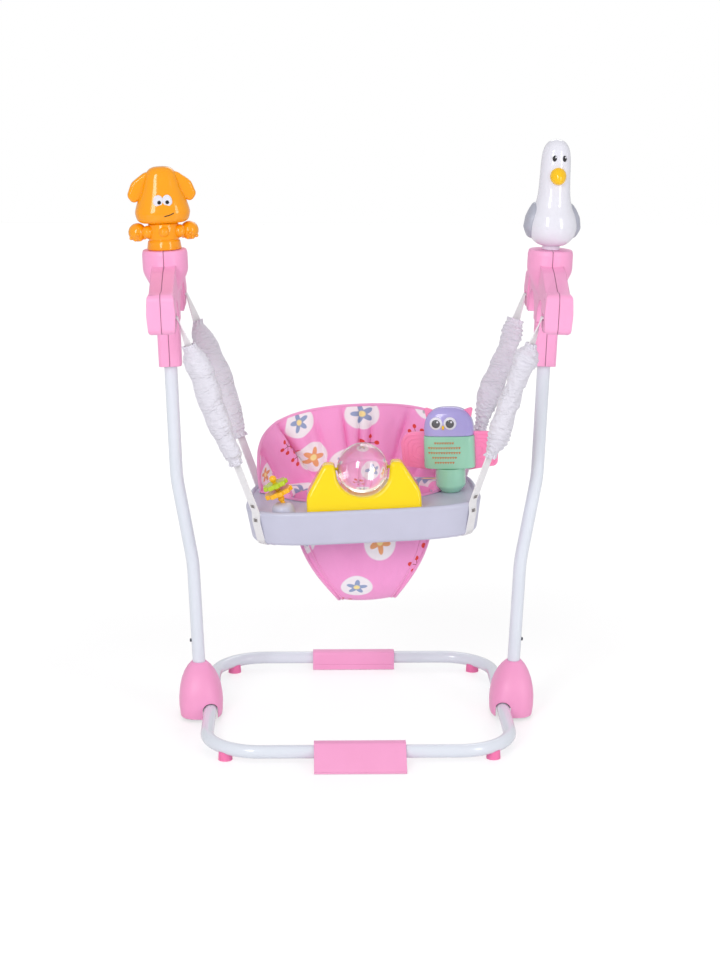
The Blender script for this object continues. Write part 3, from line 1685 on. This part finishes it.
@dataclass
class BallToy:
    """Clear ball in its yellow cradle on the tray's front."""

    at_y: float = -0.123
    ball_radius: float = 0.048
    wall: float = 0.002
    ball_z: float = 0.072
    clear: float = 0.0515
    half_width: float = 0.1085
    half_depth: float = 0.032
    top_share: float = 0.56
    horn_x: float = 0.063
    horn_z: float = 0.084
    shoulder_z: float = 0.026
    foot: float = -0.006
    rounding: float = 0.0075
    horn_half: float = 0.0105
    seam_half: float = 0.0012
    seam_deep: float = 0.0025
    seam_gap: float = 0.0001
    arc_steps: int = 28
    round_steps: int = 56

    def outline(self) -> list[Point2]:
        """Front outline of the cradle: two horns with the ball's valley between them."""
        valley = [math.radians(8 * i) for i in range(10)]
        bowl = [(self.clear * math.sin(a), self.ball_z - self.clear * math.cos(a)) for a in valley]
        horn = fillet([
            (*bowl[-1], 0), (self.horn_x - self.horn_half, self.horn_z, 0.0085),
            (self.horn_x + self.horn_half, self.horn_z, 0.013),
            (self.half_width, self.shoulder_z, 0.04), (self.half_width, self.foot, 0),
        ], 9)
        right = bowl[:-1] + horn
        return right + [(-x, z) for x, z in reversed(right[1:])]

    def cradle(self) -> Mould:
        """The cradle, thinner towards its horns and with rounded edges."""
        line = [Vector(p) for p in self.outline()]
        count = len(line)
        outs = []
        for i, p in enumerate(line):
            ahead = (line[(i + 1) % count] - line[i - 1]).normalized()
            outs.append(Vector((spow(p.x, 0.0), 0.0)) if p.y <= self.foot else Vector((-ahead.y, ahead.x)))
        turns = [math.pi / 12 * i for i in range(7)]
        edge = [(self.rounding * (1 - math.sin(a)), self.rounding * (1 - math.cos(a))) for a in turns]
        rings = [(-1, *e) for e in edge] + [(1, *e) for e in reversed(edge)]

        def place(u: float, v: float) -> Vector:
            """Point round the outline and through the depth."""
            i = round(u * count) % count
            face, inset, deep = rings[round(v * (len(rings) - 1))]
            p = line[i] - outs[i] * inset
            share = (p.y - self.foot) / (self.horn_z - self.foot)
            return Vector((p.x, face * (self.half_depth * mix(1.0, self.top_share, share) - deep), p.y))

        return Mould.patch(place, count, len(rings) - 1).capped()

    def build(self) -> None:
        """Makes the cradle and the ball."""
        cradle = self.cradle().moved(LAYOUT.seat() @ shift(0, self.at_y, 0))
        flowed(cradle.done("cradle_moulding", Finishes.YELLOW, "seat", ["toy_cradle"], 50.0))
        r, w = self.ball_radius, self.wall
        arc = [math.pi * i / self.arc_steps for i in range(self.arc_steps + 1)]
        profile = [(r * math.sin(a), r * math.cos(a)) for a in arc]
        profile += [((r - w) * math.sin(a), (r - w) * math.cos(a)) for a in reversed(arc)]
        centre = LAYOUT.seat() @ shift(0, self.at_y, self.ball_z) @ tilt(90, "Y")
        shell = Mould.lathe([(abs(x), z) for x, z in profile], self.round_steps)
        shell.moved(centre).done("ball_shell", Finishes.CLEAR, "ball", ["ball_half_left", "ball_half_right"])
        outer, half = r - w - self.seam_gap, self.seam_half
        inner = outer - self.seam_deep
        square = [(outer, -half), (inner, -half), (inner, half), (outer, half), (outer, -half)]
        Mould.lathe(square, self.round_steps).moved(centre).done("ball_seam", Finishes.CLEAR, "ball")
        TubeFrame.paint(["ball_axles"], Finishes.YELLOW)


@dataclass
class BeadToy:
    """Leaning post with a bead and two wavy discs."""

    disc_round: float = 0.0022
    sharp: float = 50.0

    def build(self) -> None:
        """Dresses the post and its discs."""
        TubeFrame.paint(["bead_post"], Finishes.AMBER)
        dressed("disc_yellow", Finishes.AMBER, "disc_yellow", self.disc_round, self.sharp)
        dressed("disc_lime", Finishes.LIME, "disc_lime", self.disc_round, self.sharp)


@dataclass
class OwlToy:
    """Owl on a peg at the tray's right."""

    at: Point2 = (0.172, -0.022)
    turn: float = -10.0
    wide: float = 0.100
    deep: float = 0.048
    power: float = 3.4
    dome: float = 2.7
    stem: float = 0.049
    body: float = 0.064
    head: float = 0.055
    wing_span: float = 0.192
    wing_height: float = 0.076
    plate: float = 0.0078
    gap: float = 0.0004
    wing_root: float = 0.013
    wing_rise: float = 0.009
    ear_drop: float = 0.009
    ribs: int = 4
    rib_from: float = 0.006
    rib_pitch: float = 0.0075
    rib_root: float = 0.012
    rib_radius: float = 0.0009
    face_shift: float = -0.009
    eye_rise: float = 0.0257
    eye_gap: float = 0.0135
    eye_sunk: float = 0.002
    eye: Point2 = (0.0125, 0.0035)
    pupil: Point2 = (0.0082, 0.0022)
    glint: Point2 = (0.002, 0.001)
    beak: float = 0.0032
    mark_rows: tuple[int, ...] = (8, 13, 13, 10, 8)
    mark_pitch: float = 0.0049
    mark_drop: float = 0.013
    mark_step: float = 0.0096
    mark_shift: float = -0.008
    mark_half: float = 0.0022
    mark_thick: float = 0.0009

    def place(self) -> Matrix:
        """Frame of the owl on the tray's deck."""
        return LAYOUT.seat() @ shift(*self.at, -TRAY.rim) @ tilt(self.turn, "Z")

    def ring(self, u: float, scale: float, z: float) -> Vector:
        """Point of the owl's squared outline.

        Args:
            u: Place round the outline, 0 to 1.
            scale: Share by which the outline is drawn in.
            z: Height of the point.

        Returns:
            The point in the owl's frame.
        """
        a = math.tau * u
        x = self.wide / 2 * scale * spow(math.cos(a), 2 / self.power)
        y = self.deep / 2 * scale * spow(math.sin(a), 2 / self.power)
        return Vector((x, y, z))

    def front(self, x: float, grow: float = 0.0) -> float:
        """Depth of the owl's front face at a place across it."""
        half = self.wide / 2 + grow
        return -(self.deep / 2 + grow) * max(0.0, 1 - abs(x / half) ** self.power) ** (1 / self.power)

    def shell(self, levels: Sequence[Point2]) -> Mould:
        """Closed form through level outlines.

        Args:
            levels: The scale and height of each level, from the foot up.

        Returns:
            The mesh.
        """

        def at(u: float, v: float) -> Vector:
            """Point round the form and up it."""
            scale, z = levels[round(v * (len(levels) - 1))]
            return self.ring(u, scale, z)

        return Mould.patch(at, 96, len(levels) - 1).capped()

    def build(self) -> None:
        """Makes the owl."""
        here = self.place()
        foot, top = self.gap, self.stem - self.gap
        stem = Mould.lathe(fillet([
            (0.0, foot, 0), (0.018, foot, 0.004), (0.029, 0.013, 0.009), (0.029, top, 0.0), (0.0, top, 0),
        ]), 64)
        stem.moved(here).done("owl_stem_moulding", Finishes.MINT, "owl", ["owl_stem"])
        base, neck = self.stem, self.stem + self.body
        body = self.shell([
            (0.93, base), (0.975, base + 0.0008), (1.0, base + 0.0035),
            (0.99, neck - 0.003), (0.972, neck - 0.0008), (0.93, neck - 0.0002),
        ])
        body.moved(here).done("owl_body_moulding", Finishes.MINT, "owl", ["owl_body"])
        dome = [(0.91, neck), (0.955, neck + 0.0008)]
        for i in range(26):
            t = math.sin(math.pi / 2 * i / 26)
            scale = 0.965 * (1 - t**self.dome) ** (1 / self.dome)
            dome.append((scale, neck + 0.0024 + t * (self.head - 0.0026)))
        self.shell(dome).moved(here).done("owl_head_moulding", Finishes.PURPLE, "owl", ["owl_head"])
        self.wings(here)
        self.face(here)
        self.marks(here)

    def wings(self, here: Matrix) -> None:
        """Back plate with ribbed wings and ears.

        Args:
            here: The owl's frame.
        """
        z = self.stem + self.body / 2
        low, high = z - self.wing_height / 2, z + self.wing_height / 2
        span, half = self.wing_span / 2, self.wide / 2 - self.wing_root
        foot, ear = self.stem + 0.001, self.stem + self.body + self.head
        tip, brow, root = low + self.wing_rise, ear - self.ear_drop, half + self.rib_root
        outline = fillet([
            (0.0, foot, 0), (half, foot, 0), (half, low, 0), (span - 0.004, tip, 0.010),
            (span, high, 0.026), (half, high, 0), (self.wide / 2 - 0.002, ear, 0.004),
            (self.wide / 2 - 0.027, brow, 0.004), (0.0, brow, 0),
        ], 8)
        mirrored = [(-x, h) for x, h in reversed(outline[1:-1])]
        plate = Mould.plate(outline + mirrored, self.plate).bevelled(0.0014, 2, 50.0)
        ribs = []
        for side in Side:
            for k in range(self.ribs):
                g = self.rib_from + self.rib_pitch * k
                loop = fillet([
                    (root, high - g, 0), (span - g, high - g, max(0.022 - g * 0.5, 0.006)),
                    (span - g - 0.003, tip + g * 0.8, 0.008), (root, low + 0.004 + g * 0.7, 0),
                ], 8)
                line = [Vector((side.value * x, -self.plate / 2, h)) for x, h in loop]
                ribs.append(Seat.tube(line, self.rib_radius))
        plate.joined(ribs).moved(here).done("owl_wings_moulding", Finishes.WING, "owl", ["owl_back"])

    def face(self, here: Matrix) -> None:
        """Goggle eyes with their pupils, and the beak.

        Args:
            here: The owl's frame.
        """
        z = self.stem + self.body + self.eye_rise
        whites, pupils, glints = [], [], []
        for side in Side:
            x = side.value * self.eye_gap + self.face_shift
            y = self.front(x, -self.eye_sunk)
            whites.append(self.button(*self.eye).moved(shift(x, y, z)))
            pupils.append(self.button(*self.pupil).moved(shift(x, y - 0.0028, z)))
            glints.append(self.button(*self.glint).moved(shift(x + 0.003, y - 0.0046, z + 0.0035)))
        Mould.together(whites + glints).moved(here).done("owl_eye_whites", Finishes.PEARL, "owl")
        Mould.together(pupils).moved(here).done("owl_pupils", Finishes.PUPIL, "owl")
        front = self.front(self.face_shift, -self.eye_sunk)
        beak = Mould.ball(self.beak, 10).moved(Matrix.Diagonal((0.8, 1.1, 1.4, 1.0)))
        beak.moved(here @ shift(self.face_shift, front - 0.002, z - 0.008))
        beak.done("owl_beak", Finishes.BEAK, "owl")

    @staticmethod
    def button(radius: float, high: float) -> Mould:
        """Low dome that faces the front.

        Args:
            radius: The dome's radius.
            high: Its height.

        Returns:
            The mesh.
        """
        profile = fillet([
            (0.0, high, 0), (radius * 0.7, high, radius * 0.5),
            (radius, high * 0.3, high * 0.3), (radius, -high, 0),
        ], 6)
        return Mould.lathe(profile, 40).moved(tilt(90, "X"))

    def marks(self, here: Matrix) -> None:
        """Rows of small triangles on the breast.

        Args:
            here: The owl's frame.
        """
        made = []
        corners = [(-self.mark_half, 0.002), (0.0, -0.0024), (self.mark_half, 0.002)]
        for row, count in enumerate(self.mark_rows):
            z = self.stem + self.body - self.mark_drop - row * self.mark_step
            for k in range(count):
                x = (k - (count - 1) / 2) * self.mark_pitch + self.mark_shift
                mark = Mould.plate(corners, self.mark_thick)
                made.append(mark.moved(shift(x, self.front(x) - 0.0001, z)))
        Mould.together(made).moved(here).done("owl_breast_marks", Finishes.MARK, "owl")


@dataclass
class SquidToy:
    """Squid on the left head."""

    turn: float = 6.0
    wide: float = 0.103
    deep_share: float = 0.76
    low: float = 0.051
    high: float = 0.156
    heights: tuple[float, ...] = (0.0, 0.012, 0.05, 0.13, 0.22, 0.4, 0.6, 0.78, 0.89, 0.955, 0.988, 1.0, 1.0)
    widths: tuple[float, ...] = (0.70, 0.82, 0.93, 0.99, 1.0, 0.89, 0.73, 0.61, 0.525, 0.42, 0.28, 0.12, 0.0)
    power: float = 2.3
    fin_thick: float = 0.017
    fin_round: float = 0.006
    arm_at: Point2 = (0.049, 0.034)
    arm_radius: float = 0.0175
    sucker_at: float = 0.0172
    sucker_radius: float = 0.0036
    suckers: tuple[Point2, ...] = (
        (205, -0.010), (250, -0.0125), (295, -0.0125), (335, -0.010), (270, -0.003),
    )
    eye_at: Point2 = (0.0083, 0.0925)
    eye_half: Point2 = (0.0096, 0.0128)
    eye_high: float = 0.003
    pupil: Point2 = (0.0036, 0.0014)
    pupils_at: Point2 = (-0.0065, 0.0085)
    mouth_from: Point2 = (0.001, 0.0655)
    mouth_to: Point2 = (0.0205, 0.0715)
    mouth_sag: float = 0.0012
    mouth_radius: float = 0.001

    def half(self, z: float) -> float:
        """Half width of the head at a height."""
        share = (z - self.low) / (self.high - self.low)
        return between(self.heights, self.widths, share) * self.wide / 2

    def build(self) -> None:
        """Makes the squid."""
        here = LAYOUT.platform(Side.LEFT, self.turn)

        def place(u: float, v: float) -> Vector:
            """Point round the head and up it."""
            a, half = math.tau * u, max(sampled(self.widths, v), 0.0) * self.wide / 2
            x = half * spow(math.cos(a), 2 / self.power)
            y = half * self.deep_share * spow(math.sin(a), 2 / self.power)
            return Vector((x, y, mix(self.low, self.high, min(sampled(self.heights, v), 1.0))))

        head = Mould.patch(place, 72, 84).capped()
        head.moved(here).done("squid_head_moulding", Finishes.ORANGE, "squid", ["squid_head"])
        self.fins(here)
        self.body(here)
        self.face(here)

    def fins(self, here: Matrix) -> None:
        """Side fins of the head, rounded like leaves.

        Args:
            here: The squid's frame.
        """
        outline = fillet([
            (0.010, 0.146, 0), (0.030, 0.1465, 0.02), (0.056, 0.1275, 0.022), (0.0655, 0.103, 0.011),
            (0.0555, 0.0885, 0.009), (0.0375, 0.0955, 0), (0.012, 0.0955, 0),
        ], 9)
        made = []
        for side in Side:
            fin = Mould.plate([(side.value * x, z) for x, z in outline], self.fin_thick)
            made.append(fin.bevelled(self.fin_round, 5, 50.0))
        fins = Mould.together(made).moved(here)
        flowed(fins.done("squid_fins_moulding", Finishes.ORANGE, "squid", ["squid_fins"], 60.0))

    def body(self, here: Matrix) -> None:
        """Foot, waist and ball arms with a few suckers.

        Args:
            here: The squid's frame.
        """
        core = Mould.lathe(fillet([
            (0.0, 0.0004, 0), (0.033, 0.0004, 0.002), (0.0305, 0.0165, 0.003), (0.028, 0.0185, 0.001),
            (0.030, 0.021, 0.003), (0.0305, 0.036, 0.02), (0.0285, 0.0508, 0.004), (0.0, 0.0508, 0),
        ]), 56)
        bumps = [Mould.ball(0.0115, 14).moved(shift(0.0, -0.0235, 0.035))]
        arm_x, arm_z = self.arm_at
        for side in Side:
            s = side.value
            bumps.append(Mould.ball(self.arm_radius, 18).moved(shift(s * arm_x, 0, arm_z)))
            bumps.append(Mould.ball(0.0125, 14).moved(shift(s * 0.030, -0.010, 0.0345)))
            for angle, drop in self.suckers:
                r, a = math.sqrt(self.sucker_at**2 - drop**2), math.radians(angle)
                sucker = Mould.ball(self.sucker_radius, 8)
                at = shift(s * (arm_x + r * math.cos(a)), r * math.sin(a), arm_z + drop)
                bumps.append(sucker.moved(at))
        core.joined(bumps).moved(here).done("squid_body_moulding", Finishes.ORANGE, "squid", ["squid_body"])

    def face(self, here: Matrix) -> None:
        """Eyes, pupils and mouth.

        Args:
            here: The squid's frame.
        """
        x, z = self.eye_at
        front = -self.half(z) * self.deep_share
        oval = Matrix.Diagonal((self.eye_half[0], 1.0, self.eye_half[1], 1.0))
        whites = [
            OwlToy.button(1.0, self.eye_high).moved(oval).moved(shift(side.value * x, front + 0.0016, z))
            for side in Side
        ]
        Mould.together(whites).moved(here).done("squid_eye_whites", Finishes.PEARL, "squid", ["squid_eyes"])
        pupils = [
            OwlToy.button(*self.pupil).moved(shift(px, front - 0.0012, z - 0.001)) for px in self.pupils_at
        ]
        Mould.together(pupils).moved(here).done("squid_pupils", Finishes.BLACK, "squid")
        line = []
        for i in range(13):
            t = i / 12
            px = mix(self.mouth_from[0], self.mouth_to[0], t)
            pz = mix(self.mouth_from[1], self.mouth_to[1], t) - self.mouth_sag * math.sin(math.pi * t)
            bow = (1 - (px / self.half(pz)) ** self.power) ** (1 / self.power)
            line.append(Vector((px, -self.half(pz) * self.deep_share * bow - 0.0001, pz)))
        Seat.tube(line, self.mouth_radius).moved(here).done("squid_mouth", Finishes.BLACK, "squid")


@dataclass
class GullToy:
    """Gull on the right head."""

    turn: float = 8.0
    wide: float = 0.094
    low: float = 0.008
    high: float = 0.208
    heights: tuple[float, ...] = (
        0.0, 0.02, 0.08, 0.17, 0.27, 0.37, 0.48, 0.64, 0.79, 0.88, 0.94, 0.976, 0.994, 1.0, 1.0,
    )
    radii: tuple[float, ...] = (
        0.40, 0.62, 0.87, 1.0, 0.94, 0.76, 0.655, 0.615, 0.595, 0.55, 0.455, 0.325, 0.18, 0.06, 0.0,
    )
    steps: int = 96
    wing_size: Point2 = (0.062, 0.070)
    wing_at: Point2 = (0.012, 0.054)
    wing_thick: float = 0.0086
    wing_sunk: float = 0.0006
    beak_z: float = 0.1405
    beak_half: Point3 = (0.0155, 0.017, 0.0165)
    beak_droop: float = 0.006
    beak_taper: float = 0.35
    eye_at: Point2 = (0.0095, 0.1735)
    eye_radius: float = 0.0058
    glint_radius: float = 0.0016

    def radius(self, z: float) -> float:
        """Radius of the body at a height."""
        share = (z - self.low) / (self.high - self.low)
        return between(self.heights, self.radii, share) * self.wide / 2

    def build(self) -> None:
        """Makes the gull."""
        here = LAYOUT.platform(Side.RIGHT, self.turn)
        profile = [(0.0, self.low)]
        for i in range(self.steps + 1):
            radius = max(sampled(self.radii, i / self.steps), 0.0) * self.wide / 2
            share = min(sampled(self.heights, i / self.steps), 1.0)
            profile.append((radius, mix(self.low, self.high, share)))
        Mould.lathe(profile, 64).moved(here).done("gull_body_moulding", Finishes.PEARL, "gull", ["gull_body"])
        dressed("gull_neck", Finishes.PEARL, "gull", 0.001)
        wings = Mould.together([self.wing(side) for side in Side]).moved(here)
        wings.done("gull_wings_moulding", Finishes.GREY, "gull", ["gull_wings"])
        self.face(here)

    def wing(self, side: Side) -> Mould:
        """Leaf-shaped wing that lies on the body's side.

        Args:
            side: The wing's side.

        Returns:
            The mesh in the gull's frame.
        """
        length, high = self.wing_size

        def place(u: float, v: float) -> Vector:
            """Point round the wing and out from its middle."""
            a = math.tau * u
            y = self.wing_at[0] + length / 2 * v * spow(math.cos(a), 0.9)
            z = self.wing_at[1] + high / 2 * v * spow(math.sin(a), 0.9)
            skin = math.sqrt(max(self.radius(z) ** 2 - y * y, 0.0))
            out = skin + self.wing_thick * math.sqrt(1 - v**6) - self.wing_sunk
            return Vector((side.value * out, y, z))

        return Mould.patch(place, 48, 24)

    def face(self, here: Matrix) -> None:
        """Beak and eyes.

        Args:
            here: The gull's frame.
        """
        beak = Mould.ball(1.0, 20).moved(Matrix.Diagonal((*self.beak_half, 1.0)))
        for vert in beak.bm.verts:
            ahead = min(vert.co.y / self.beak_half[1], 0.0) ** 2
            vert.co.z -= self.beak_droop * ahead
            vert.co.x *= 1 - self.beak_taper * ahead
        beak.moved(here @ shift(-0.001, 0.002 - self.radius(self.beak_z), self.beak_z))
        beak.done("gull_beak_moulding", Finishes.BEAK, "gull", ["gull_beak"])
        eyes, glints = [], []
        for side in Side:
            x, z = side.value * self.eye_at[0], self.eye_at[1]
            y = -math.sqrt(self.radius(z) ** 2 - x * x)
            eye = Mould.ball(self.eye_radius, 12).moved(Matrix.Diagonal((0.75, 0.5, 1.0, 1.0)))
            eyes.append(eye.moved(shift(x, y - 0.0004, z)))
            glints.append(Mould.ball(self.glint_radius, 8).moved(shift(x + 0.0014, y - 0.0028, z + 0.0025)))
        Mould.together(eyes).moved(here).done("gull_eyes", Finishes.BLACK, "gull")
        Mould.together(glints).moved(here).done("gull_glints", Finishes.PEARL, "gull")


# Stage


@dataclass(frozen=True)
class SoftBox:
    """One lamp of the studio."""

    name: str
    at: Point3
    size: Point2
    power: float


@dataclass
class Studio:
    """White floor, soft light and the camera."""

    eye: Point3 = (-0.095, -3.873, 1.3955)
    yaw: float = -0.0259
    pitch: float = -0.2324
    roll: float = -0.0039
    lens: float = 76.5
    sensor: float = 36.0
    boxes: tuple[SoftBox, ...] = (
        SoftBox("key", (-1.4, -3.0, 2.1), (0.8, 1.9), 42.0),
        SoftBox("fill", (2.2, -2.4, 1.5), (0.7, 1.8), 20.0),
        SoftBox("rim", (0.6, 2.4, 2.6), (1.6, 1.2), 12.0),
    )
    aim: Point3 = (0.0, 0.0, 0.6)
    sky: float = 0.62
    floor_half: float = 9.0
    floor_lift: Point2 = (0.23, 0.5)
    floor_fade: Point2 = (0.7, 1.6)
    floor_clear: float = 0.5

    def build(self) -> None:
        """Makes the stage round the object."""
        bpy.context.scene.view_settings.view_transform = "Standard"
        self.floor()
        self.world()
        for box in self.boxes:
            self.lamp(box)
        camera = bpy.data.cameras.new("camera")
        camera.lens = self.lens
        camera.sensor_width = self.sensor
        eye = bpy.data.objects.new("camera", camera)
        turns = ((self.yaw, "Z"), (self.pitch, "X"), (self.roll, "Y"))
        yaw, pitch, roll = (Matrix.Rotation(angle, 4, axis) for angle, axis in turns)
        eye.matrix_world = shift(*self.eye) @ yaw @ pitch @ roll @ tilt(90, "X")
        bpy.context.scene.collection.objects.link(eye)
        bpy.context.scene.camera = eye

    def floor(self) -> None:
        """White floor that keeps the object's shadow and lets the folded base show through."""
        mould = Mould()
        bmesh.ops.create_grid(mould.bm, x_segments=1, y_segments=1, size=self.floor_half)
        mesh = bpy.data.meshes.new("floor")
        mould.bm.to_mesh(mesh)
        mould.bm.free()
        graph = Graph("floor_white")
        grain = graph.noise(graph.place(), 3.0)
        x, y, _ = graph.split(graph.place())
        far = ((x * x + y * y).math("SQRT") - self.floor_fade[0]) / self.floor_fade[1]
        near_lift, far_lift = ((lift, lift, lift, 1) for lift in self.floor_lift)
        lift = graph.blend(far.clamped(), near_lift, far_lift)
        graph.surface(
            base_color=graph.blend(grain, (0.95, 0.95, 0.955, 1), (0.97, 0.97, 0.97, 1)),
            roughness=0.3,
            emission_color=graph.blend(graph.seen("Camera"), (0.0, 0.0, 0.0, 1), lift),
            emission_strength=1.0,
            alpha=1 - graph.seen("Camera") * self.floor_clear,
        )
        mesh.materials.append(graph.material)
        floor = bpy.data.objects.new("floor", mesh)
        bpy.context.scene.collection.objects.link(floor)

    def world(self) -> None:
        """Soft sky light that the camera and glass see as white."""
        world = bpy.data.worlds.new("studio")
        bpy.context.scene.world = world
        world.use_nodes = True
        tree = Tree(world.node_tree)
        white = (1.0, 1.0, 1.0, 1.0)
        sky = tree.add("ShaderNodeBackground", {}, {"Color": white, "Strength": self.sky})
        back = tree.add("ShaderNodeBackground", {}, {"Color": white, "Strength": 1.0})
        seen = tree.seen("Camera", "Transmission")
        mixed = tree.add("ShaderNodeMixShader", {}, {0: seen, 1: sky, 2: back})
        tree.node("ShaderNodeOutputWorld", {}, {0: mixed})

    def lamp(self, box: SoftBox) -> None:
        """Lamp that faces the studio's aim.

        Args:
            box: The lamp's name, place, size and power in watts.
        """
        data = bpy.data.lights.new(box.name, "AREA")
        data.shape = "RECTANGLE"
        data.size, data.size_y = box.size
        data.energy = box.power
        lamp = bpy.data.objects.new(box.name, data)
        lamp.location = box.at
        lamp.rotation_euler = (Vector(self.aim) - Vector(box.at)).to_track_quat("-Z", "Y").to_euler()
        bpy.context.scene.collection.objects.link(lamp)


def main() -> None:
    """Builds the studio and every piece, and notes the sizes."""
    logging.basicConfig(level=logging.INFO, format="%(message)s")
    toys = (BallToy(), BeadToy(), OwlToy(), SquidToy(), GullToy())
    for part in (Studio(), TubeFrame(), TRAY, Seat(), Straps(), *toys):
        LOG.info("building %s", type(part).__name__)
        part.build()


if __name__ == "__main__":
    main()
